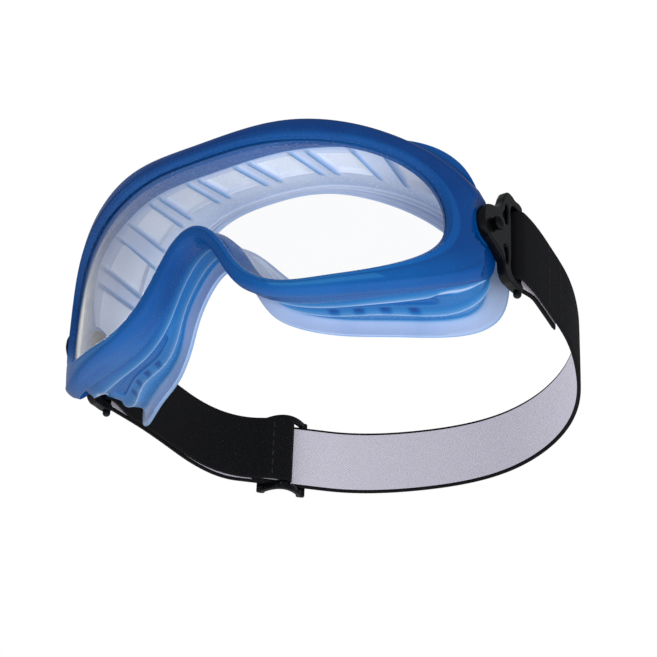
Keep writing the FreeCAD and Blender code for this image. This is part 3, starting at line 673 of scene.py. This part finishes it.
vinyl, tree, shader = new_material("frame_vinyl")
cloud = math_node(tree, "SUBTRACT", grain(tree, 60)["Grain"], 0.5)
cloud = math_node(tree, "MULTIPLY", cloud, 0.10)
colour_depth_and_painted_light = math_node(tree, "ADD", attribute(tree, "tint"), cloud, clamp=True)
colour = ramp(tree, colour_depth_and_painted_light, [(0.0, (0.80, 0.85, 0.95)), (0.22, (0.40, 0.52, 0.78)),
                                      (0.40, (0.10, 0.28, 0.56)), (0.6, (0.02, 0.17, 0.45)),
                                      (0.8, (0.002, 0.10, 0.37)), (1.0, (0.0, 0.038, 0.19))])
tree.links.new(colour, shader.inputs["Base Color"])
skin = grain(tree, 900, smooth=0.20, rough=0.32, depth=0.00001)
tree.links.new(skin["Roughness"], shader.inputs["Roughness"])
tree.links.new(skin["Normal"], shader.inputs["Normal"])
shader.inputs["IOR"].default_value = 1.45
shader.inputs["Specular IOR Level"].default_value = 0.28
shader.inputs["Coat Weight"].default_value = 0.10
shader.inputs["Coat Roughness"].default_value = 0.12
for piece in [moulding] + lugs:
    piece.data.materials.append(vinyl)


# ---- lens ------------------------------------------------------------------------------------
# A clear moulded sheet bent to a cylinder, snapped into the frame's groove all the way round.
# It is a shell between its lower and upper edge, and its columns crowd towards the temples,
# where the edge turns.
LENS_COLUMNS = 220
LENS_ROWS = 26
dense = np.linspace(0, knots[-1], 4001)
edge = closed_spline(inset(lens_edge, -3.4), dense)
tip = int(np.argmax(edge[:, 0]))
upper = edge[:tip + 1]
lower = edge[tip:len(edge) // 2 + 1][::-1]
reach = edge[tip, 0]
x = reach * np.sin(np.linspace(-math.pi / 2, math.pi / 2, LENS_COLUMNS))
top_z = np.interp(np.abs(x), upper[:, 0], upper[:, 1])
low_z = np.interp(np.abs(x), lower[:, 0], lower[:, 1])
u = np.linspace(0, 1, LENS_ROWS)[:, None]
z = low_z * (1 - u) + top_z * u
axis_y = LENS_APEX + LENS_RADIUS
turn = np.arcsin(x / LENS_RADIUS)
sheets = []
for depth in (0.0, LENS_THICKNESS):
    r = LENS_RADIUS - depth
    sheets.append(np.stack([np.broadcast_to(r * np.sin(turn), z.shape),
                            np.broadcast_to(axis_y - r * np.cos(turn), z.shape), z], -1))
skin = np.concatenate([sheets[0], sheets[1][::-1]], 0)
lens = grid_object("lens_shell", skin, "root", round_rows=True, sharp=60)
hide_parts("lens")

clear, tree, shader = new_material("lens_clear")
shader.inputs["Base Color"].default_value = (0.985, 0.99, 1.0, 1)
shader.inputs["Transmission Weight"].default_value = 1.0
shader.inputs["IOR"].default_value = 1.5
shader.inputs["Roughness"].default_value = 0.0
output = tree.nodes["Material Output"]
shadow = tree.nodes.new("ShaderNodeLightPath")
pass_through = tree.nodes.new("ShaderNodeBsdfTransparent")
mix = tree.nodes.new("ShaderNodeMixShader")
tree.links.new(shadow.outputs["Is Shadow Ray"], mix.inputs["Fac"])
tree.links.new(shader.outputs["BSDF"], mix.inputs[1])
tree.links.new(pass_through.outputs["BSDF"], mix.inputs[2])
tree.links.new(mix.outputs["Shader"], output.inputs["Surface"])
lens.data.materials.append(clear)


# ---- studs, washers and clips ----------------------------------------------------------------
# Ball-headed studs run through a backing washer, the temple lug and the clip's eye. The clips
# are flat mouldings with rounded edges: eye, two arms, a rounded ear, a cross-piece and rails.
CLIP_NEAR = 83.0
CLIP_FAR = 86.2
HEAD = 2.4


def arc_profile(x0, x1, r0, r1, count, bulge_first):
    """Profile points on a quarter ellipse from (x0, r0) to (x1, r1)."""
    points = []
    for theta in np.linspace(0, math.pi / 2, count + 1):
        early, late = math.sin(theta), 1 - math.cos(theta)
        sx, sr = (early, late) if bulge_first else (late, early)
        points.append((x0 + (x1 - x0) * sx, r0 + (r1 - r0) * sr))
    return points


black_pieces = []
washer_x = LUG_INNER - 1.4
SHANK = 1.5
for side, name in ((1, "left"), (-1, "right")):
    profile = [(washer_x - 1.2, 0.01)] + arc_profile(washer_x - 1.2, washer_x - 0.5, SHANK, HEAD,
                                                     4, False)
    profile += [(washer_x, HEAD), (washer_x, SHANK), (CLIP_FAR + 0.4, SHANK),
                (CLIP_FAR + 0.4, 2.0)]
    profile += arc_profile(CLIP_FAR + 0.4, CLIP_FAR + 1.4, 2.0, HEAD, 3, False)
    profile += arc_profile(CLIP_FAR + 1.5, CLIP_FAR + 3.0, HEAD, 0.4, 7, True) + [
        (CLIP_FAR + 3.0, 0.01)]
    stud = revolve("stud_ball_" + name, profile, side, "root", 48)
    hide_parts("stud_" + name)
    profile = [(LUG_INNER, 1.55), (LUG_INNER, 4.9), (LUG_INNER - 0.3, 5.2), (washer_x + 0.4, 5.2),
               (washer_x + 0.1, 5.05), (washer_x, 4.8), (washer_x, 1.55), (LUG_INNER, 1.55)]
    washer = revolve("washer_ring_" + name, profile[::-1], side, "root", 64)
    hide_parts("washer_" + name)
    black_pieces += [stud, washer]

BAR_Y = 17.0
BAR_RADIUS = 1.4
BAR_X = (CLIP_NEAR + CLIP_FAR) / 2


def flat_moulding(name, outlines, thickness, bevel, x_side, body):
    """Plate in the YZ plane with rounded edges; outlines are smooth closed (y, z) loops."""
    curve = bpy.data.curves.new(name, "CURVE")
    curve.dimensions = "2D"
    curve.fill_mode = "BOTH"
    curve.resolution_u = 10
    curve.bevel_depth = bevel
    curve.bevel_resolution = 3
    curve.extrude = thickness / 2 - bevel
    curve.offset = -bevel
    for points in outlines:
        spline = curve.splines.new("BEZIER")
        spline.bezier_points.add(len(points) - 1)
        spline.use_cyclic_u = True
        for knob, (y, z) in zip(spline.bezier_points, points):
            knob.co = (y, z, 0)
            knob.handle_left_type = knob.handle_right_type = "AUTO"
    maker = bpy.data.objects.new(name, curve)
    bpy.context.scene.collection.objects.link(maker)
    bpy.context.view_layer.update()
    made = bpy.data.meshes.new_from_object(
        maker.evaluated_get(bpy.context.evaluated_depsgraph_get()))
    bpy.data.objects.remove(maker)
    points = np.zeros(len(made.vertices) * 3)
    made.vertices.foreach_get("co", points)
    points = points.reshape(-1, 3)
    placed = np.stack([(BAR_X + points[:, 2]) * x_side, points[:, 0], points[:, 1]], 1) * 0.001
    made.vertices.foreach_set("co", placed.ravel())
    if x_side < 0:
        made.flip_normals()
    made.update()
    made.shade_smooth()
    made.set_sharp_from_angle(angle=math.radians(35))
    piece = bpy.data.objects.new(name, made)
    bpy.context.scene.collection.objects.link(piece)
    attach(piece, body)
    return piece


clip_outline = [(-6.8, 0.2), (-5.6, 4.2), (-2.0, 6.5), (1.6, 7.6), (4.6, 10.4), (6.6, 14.4),
                (8.6, 16.9), (11.2, 17.2), (13.6, 16.5), (16.8, 16.5), (18.3, 15.6),
                (18.3, 14.2), (17.0, 13.3), (12.2, 13.3), (10.9, 12.2), (10.8, 6.0),
                (10.8, -6.0), (10.9, -12.2), (12.2, -13.3), (17.0, -13.3), (18.3, -14.2),
                (18.2, -16.0), (16.4, -16.6), (12.0, -16.6), (8.6, -16.2), (6.5, -13.6),
                (5.9, -10.6), (4.0, -8.6), (0.4, -7.0), (-4.2, -5.4), (-6.3, -2.6)]
upper_window = [(5.6, 5.0), (8.0, 4.2), (8.4, 6.0), (8.4, 10.6), (7.7, 11.6), (6.7, 9.4)]
lower_window = [(6.0, -4.6), (8.0, -4.2), (8.4, -5.6), (8.4, -10.2), (7.8, -10.9), (6.9, -8.0)]
bar_profile = ([(-18.4, 0.01)] + arc_profile(-18.4, -17.2, 0.5, BAR_RADIUS, 5, False)
               + [(-15.0, BAR_RADIUS), (0.0, BAR_RADIUS), (15.0, BAR_RADIUS), (15.0, 0.01)])
for side, name in ((1, "left"), (-1, "right")):
    plate = flat_moulding("clip_plate_" + name, [clip_outline, upper_window, lower_window],
                          CLIP_FAR - CLIP_NEAR, 0.55, side, "strap_assembly")
    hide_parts("clip_" + name)
    turn = np.linspace(0, 2 * math.pi, 40, endpoint=False)
    profile = np.array(bar_profile)
    x = side * BAR_X + profile[:, 1:] * np.cos(turn)
    y = BAR_Y + profile[:, 1:] * np.sin(turn)
    z = np.repeat(profile[:, :1], 40, 1)
    bar = grid_object("clip_bar_" + name, np.stack([x, y, z], -1), "strap_assembly",
                      round_columns=True, flip=True, sharp=50)
    black_pieces += [plate, bar]

plastic, tree, shader = new_material("black_plastic")
colour = ramp(tree, grain(tree, 120, 3.0)["Grain"],
              [(0.3, (0.001, 0.001, 0.0015)), (0.7, (0.003, 0.003, 0.0035))])
tree.links.new(colour, shader.inputs["Base Color"])
skin = grain(tree, 1400, smooth=0.16, rough=0.30, depth=0.00002)
tree.links.new(skin["Roughness"], shader.inputs["Roughness"])
tree.links.new(skin["Normal"], shader.inputs["Normal"])
shader.inputs["Specular IOR Level"].default_value = 0.22
for piece in black_pieces:
    piece.data.materials.append(plastic)


# ---- strap -----------------------------------------------------------------------------------
# One ribbon of elastic webbing follows the plan curve of the CAD strap: sewn end, wrap round
# the left bar, round the head, wrap round the right bar. A second ribbon continues inside to
# the slider, goes over its middle bar and ends in the sewn tail.
WIDTH = 26.0
THICK = 1.5
LAYER = 2.2                 # pitch of two layers that lie together
wrap = BAR_RADIUS + 0.45 + THICK / 2
outer_x = BAR_X + wrap
inner_x = BAR_X - wrap
slide_end = np.array((-57.0, 119.0))
slide_start = np.array((-82.0, 94.0))
slide = (slide_start - slide_end) / np.linalg.norm(slide_start - slide_end)
slide_length = np.linalg.norm(slide_start - slide_end)
head_side = np.array((-slide[1], slide[0]))
slide_middle = slide_length / 2


def clamped_spline(points, first, last, spacing=1.2):
    """Cubic spline through plan points with chord-length knots and given end directions."""
    points = np.array(points, float)
    gaps = np.linalg.norm(np.diff(points, axis=0), axis=1)
    count = len(points)
    system = np.zeros((count, count))
    load = np.zeros((count, 2))
    system[0, 0] = system[-1, -1] = 1
    load[0], load[-1] = first, last
    for i in range(1, count - 1):
        system[i, i - 1:i + 2] = gaps[i], 2 * (gaps[i - 1] + gaps[i]), gaps[i - 1]
        load[i] = 3 * (gaps[i] * (points[i] - points[i - 1]) / gaps[i - 1]
                       + gaps[i - 1] * (points[i + 1] - points[i]) / gaps[i])
    slopes = np.linalg.solve(system, load)
    out = [points[:1]]
    for i in range(count - 1):
        n = max(2, int(gaps[i] / spacing))
        s = np.linspace(0, 1, n + 1)[1:, None]
        out.append((2 * s ** 3 - 3 * s ** 2 + 1) * points[i]
                   + (s ** 3 - 2 * s ** 2 + s) * gaps[i] * slopes[i]
                   + (3 * s ** 2 - 2 * s ** 3) * points[i + 1]
                   + (s ** 3 - s ** 2) * gaps[i] * slopes[i + 1])
    return np.vstack(out)


def directions(path):
    """Unit tangents of a plan path, and its left normals."""
    run = np.gradient(path, axis=0)
    run /= np.linalg.norm(run, axis=1)[:, None]
    return run, np.stack([-run[:, 1], run[:, 0]], 1)


def beside(path, offset, from_length, to_length, spacing=1.2):
    """Stretch of a path between two lengths, moved to its left."""
    length = np.concatenate([[0], np.cumsum(np.linalg.norm(np.diff(path, axis=0), axis=1))])
    wanted = np.linspace(from_length, to_length,
                         max(3, int(abs(to_length - from_length) / spacing)))
    run, left = directions(path)
    moved = path + left * np.reshape(offset, (-1, 1))
    return np.stack([np.interp(wanted, length, moved[:, i]) for i in (0, 1)], 1)


def half_turn(centre, radius, start_angle, sweep, count=16):
    """Plan points on an arc, without its first point."""
    a = np.radians(start_angle + np.linspace(0, sweep, count + 1)[1:])
    return np.array(centre) + radius * np.stack([np.cos(a), np.sin(a)], 1)


def ribbon(name, path, body):
    """Webbing on edge along a plan path: two flat faces and rounded selvedges.

    The section is a closed row of (outwards, height) points; the face on the path's left is
    the soft inner one. Values: along and across in mm, side from -1 (outer) to 1 (inner).
    """
    keep = np.concatenate([[True], np.linalg.norm(np.diff(path, axis=0), axis=1) > 0.02])
    path = path[keep]
    run, left = directions(path)
    length = np.concatenate([[0], np.cumsum(np.linalg.norm(np.diff(path, axis=0), axis=1))])
    heights = np.linspace(-WIDTH / 2 + 0.7, WIDTH / 2 - 0.7, 27)
    crown = 0.05 * (1 - (heights / (WIDTH / 2)) ** 4)
    section = [(THICK / 2 - 0.05 + c, h) for h, c in zip(heights, crown)]
    for theta in np.linspace(0, math.pi, 7)[1:-1]:
        section.append(((THICK / 2 - 0.05) * math.cos(theta),
                        WIDTH / 2 - 0.7 + 0.7 * math.sin(theta)))
    section += [(-(THICK / 2 - 0.05 + c), h) for h, c in zip(heights[::-1], crown[::-1])]
    for theta in np.linspace(0, math.pi, 7)[1:-1]:
        section.append((-(THICK / 2 - 0.05) * math.cos(theta),
                        -WIDTH / 2 + 0.7 - 0.7 * math.sin(theta)))
    section = np.array(section)
    ends = np.clip(np.minimum(length, length[-1] - length) / 0.5, 0, 1)
    squeeze = 0.6 + 0.4 * np.sqrt(1 - (1 - ends) ** 2)
    xy = path[:, None, :] + left[:, None, :] * (section[None, :, :1] * squeeze[:, None, None])
    z = np.broadcast_to(section[None, :, 1:], xy.shape[:2] + (1,))
    points = np.concatenate([xy, z], -1)
    shape = points.shape[:2]
    values = {"along": np.broadcast_to(length[:, None], shape),
              "across": np.broadcast_to(section[None, :, 1], shape),
              "side": np.broadcast_to(np.clip(section[None, :, 0] / 0.6, -1, 1), shape)}
    middle_row = np.broadcast_to(path[:, None, :], xy.shape)
    for cap, at_end in ((points[:1], 0), (points[-1:], -1)):
        lid = cap.copy()
        lid[0, :, :2] = middle_row[at_end]
        points = np.concatenate([lid, points] if at_end == 0 else [points, lid], 0)
    values = {key: np.concatenate([v[:1], v, v[-1:]], 0) for key, v in values.items()}
    return grid_object(name, points, body, values, round_columns=True, sharp=60)


back_points = [(outer_x, BAR_Y), (84.5, 40), (81, 58), (73, 81), (60, 105), (38, 127),
               (8, 139.5), (-26, 136), slide_end]
back_path = clamped_spline(back_points, (0, 1), slide)
side_points = [slide_start, (-87.6, 80), (-87.6, 60), (-86.6, 38), (-outer_x, BAR_Y)]
side_path = clamped_spline(side_points, slide, (0, -1))
side_length = np.linalg.norm(np.diff(side_path, axis=0), axis=1).sum()
sewn = beside(back_path, LAYER, 34.0, 14.0)
sewn_run = (sewn[-1] - sewn[-2]) / np.linalg.norm(sewn[-1] - sewn[-2])
sewn = np.vstack([sewn, clamped_spline([sewn[-1], (inner_x, BAR_Y)], sewn_run, (0, -1))[1:]])
straight = slide_end + (slide_start - slide_end) * np.linspace(0, 1, 30)[1:, None]
main_path = np.vstack([sewn, half_turn((BAR_X, BAR_Y), wrap, 180, 180), back_path[1:], straight,
                       side_path[1:], half_turn((-BAR_X, BAR_Y), wrap, 180, 180)])
strap = ribbon("webbing", main_path, "strap_assembly")
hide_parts("strap")

bar_offset = 3.7            # slider's middle bar, on the head side of the strap's middle
loop_radius = 1.85
loop_at = slide_middle - 0.75


def slide_point(length, offset):
    """Plan point beside the straight stretch, offset towards the head."""
    return slide_end + slide * length + head_side * offset


up_side = beside(side_path, LAYER, side_length - 14.0, side_length * 0.45, 3.0)
loop_start = [(-inner_x, BAR_Y)] + list(up_side) + [
    slide_point(slide_length, 4.05), slide_point(slide_middle + 12.2, 4.2),
    slide_point(slide_middle + 7.0, 5.4)]
inside_path = clamped_spline(loop_start + [slide_point(loop_at, bar_offset + loop_radius)],
                             (0, 1), -slide)
turn_centre = slide_point(loop_at, bar_offset)
over_bar = half_turn(turn_centre, loop_radius, math.degrees(math.atan2(*head_side[::-1])),
                     180, 14)
tail = np.array([slide_point(l, bar_offset - loop_radius)
                 for l in np.linspace(loop_at, slide_middle + 12.0, 12)[1:]])
inside = ribbon("webbing_return", np.vstack([inside_path, over_bar, tail]), None)
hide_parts("strap_end_loop")
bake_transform(inside)

woven, tree, shader = new_material("strap_webbing")
along_wave = math_node(tree, "SINE", math_node(tree, "MULTIPLY", attribute(tree, "along"),
                                               2 * math.pi / 1.3))
across_wave = math_node(tree, "SINE", math_node(tree, "MULTIPLY", attribute(tree, "across"),
                                                2 * math.pi / 1.1))
weave = math_node(tree, "MULTIPLY", along_wave, across_wave)
fuzz = grain(tree, 2500, smooth=0.6, rough=0.8)
height = math_node(tree, "ADD", weave, math_node(tree, "MULTIPLY", fuzz["Grain"], 0.8))
tree.links.new(bump(tree, height, 0.00005), shader.inputs["Normal"])
black_face = ramp(tree, math_node(tree, "ADD", math_node(tree, "MULTIPLY", weave, 0.3), 0.5),
                  [(0.2, (0.003, 0.003, 0.004)), (0.8, (0.009, 0.009, 0.010))])
grey_face = ramp(tree, math_node(tree, "ADD", math_node(tree, "MULTIPLY", weave, 0.3), 0.5),
                 [(0.2, (0.54, 0.51, 0.58)), (0.8, (0.62, 0.59, 0.66))])
selvedge = math_node(tree, "GREATER_THAN",
                     math_node(tree, "ABSOLUTE", attribute(tree, "across")), 11.9)
inner_face = math_node(tree, "GREATER_THAN", attribute(tree, "side"), 0.5)
is_grey = math_node(tree, "MULTIPLY", inner_face, math_node(tree, "SUBTRACT", 1.0, selvedge))
pick = tree.nodes.new("ShaderNodeMix")
pick.data_type = "RGBA"
tree.links.new(is_grey, pick.inputs["Factor"])
tree.links.new(black_face, pick.inputs["A"])
tree.links.new(grey_face, pick.inputs["B"])
tree.links.new(pick.outputs["Result"], shader.inputs["Base Color"])
tree.links.new(fuzz["Roughness"], shader.inputs["Roughness"])
shader.inputs["Specular IOR Level"].default_value = 0.1
for piece in (strap, inside):
    piece.data.materials.append(woven)


# ---- slider and stitching --------------------------------------------------------------------
# A three-bar slider: the end bars lie outside the strap, the middle bar inside it, and bowed
# rails join them above and below. Seams are rows of short threads let into the webbing.
def rod(name, centres, sideways, half_a, half_b, body):
    """Rod along centres: a rounded box section in the directions sideways and run x sideways."""
    centres = np.array(centres, float)
    run = np.gradient(centres, axis=0)
    run /= np.linalg.norm(run, axis=1)[:, None]
    sideways = np.broadcast_to(np.array(sideways, float), centres.shape)
    other = np.cross(run, sideways)
    theta = np.linspace(0, 2 * math.pi, 28, endpoint=False)
    power = 0.55
    a = half_a * np.sign(np.cos(theta)) * np.abs(np.cos(theta)) ** power
    b = half_b * np.sign(np.sin(theta)) * np.abs(np.sin(theta)) ** power
    inner = len(centres) - 2
    swell = np.array([0.01, 0.55, 0.86, 1.0] + [1.0] * inner + [1.0, 0.86, 0.55, 0.01])
    push = np.array([0.0, 0.06, 0.22, 0.5] + [0.0] * inner + [-0.5, -0.22, -0.06, 0.0])
    push *= min(half_a, half_b)
    pick = [0, 0, 0, 0] + list(range(1, len(centres) - 1)) + [len(centres) - 1] * 4
    spine = centres[pick] + run[pick] * push[:, None]
    points = (spine[:, None, :]
              + sideways[pick][:, None, :] * (a[None, :, None] * swell[:, None, None])
              + other[pick][:, None, :] * (b[None, :, None] * swell[:, None, None]))
    return grid_object(name, points, body, round_columns=True, sharp=60)


SLIDER_LENGTH = 19.0
SLIDER_BAR = 3.4
SLIDER_THICK = 1.9
slider_half = WIDTH / 2 + 0.35 + 2.6
reach = (SLIDER_LENGTH - SLIDER_BAR) / 2
end_offset = -(THICK / 2 + 0.35 + SLIDER_THICK / 2)
slider_pieces = []
for i, (length, offset) in enumerate(((slide_middle - reach, end_offset),
                                      (slide_middle, bar_offset),
                                      (slide_middle + reach, end_offset))):
    x, y = slide_point(length, offset)
    spine = [(x, y, z) for z in np.linspace(-slider_half, slider_half, 9)]
    slider_pieces.append(rod(f"slider_bar_{i}", spine, (*slide, 0), SLIDER_BAR / 2,
                             SLIDER_THICK / 2, "slider"))
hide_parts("slider")
for name, sign in (("upper", 1), ("lower", -1)):
    spine = []
    for u in np.linspace(-1, 1, 33):
        offset = end_offset + (bar_offset - end_offset) * (1 - u * u)
        x, y = slide_point(slide_middle + reach * u, offset)
        spine.append((x, y, sign * (slider_half - 1.3)))
    slider_pieces.append(rod("slider_rail_" + name, spine, (0, 0, 1), 1.3, SLIDER_THICK / 2,
                             "slider"))


def seam(name, place, normal, body):
    """Row of short threads across the webbing, each a small rounded rod."""
    threads = []
    count = int((WIDTH - 2.6) / 4.0)
    x, y = np.array(place) + np.array(normal) * (THICK / 2 - 0.12)
    for i in range(count + 1):
        z = (i - count / 2) * 4.0
        spine = [(x, y, z + h) for h in np.linspace(-1.3, 1.3, 5)]
        threads.append(rod(f"{name}_{i}", spine, (*normal, 0), 0.24, 0.35, body))
    return threads


run, left = directions(back_path)
lengths = np.concatenate([[0], np.cumsum(np.linalg.norm(np.diff(back_path, axis=0), axis=1))])
threads_left = []
for i, length in enumerate((32.0, 20.0)):
    place = [np.interp(length, lengths, back_path[:, k]) for k in (0, 1)]
    normal = -np.array([np.interp(length, lengths, left[:, k]) for k in (0, 1)])
    threads_left += seam(f"thread_left_{i}", place, normal, "strap_assembly")
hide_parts("stitching_left")
threads_slider = seam("thread_slider", slide_point(slide_middle + 5.0, bar_offset + loop_radius),
                      head_side, "slider")
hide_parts("stitching_slider")

cotton, tree, shader = new_material("thread")
colour = ramp(tree, grain(tree, 3000)["Grain"],
              [(0.3, (0.003, 0.003, 0.004)), (0.7, (0.010, 0.010, 0.011))])
tree.links.new(colour, shader.inputs["Base Color"])
shader.inputs["Roughness"].default_value = 0.7
tree.links.new(grain(tree, 5000, depth=0.00004)["Normal"], shader.inputs["Normal"])
for piece in threads_left + threads_slider:
    piece.data.materials.append(cotton)
for piece in slider_pieces:
    piece.data.materials.append(plastic)
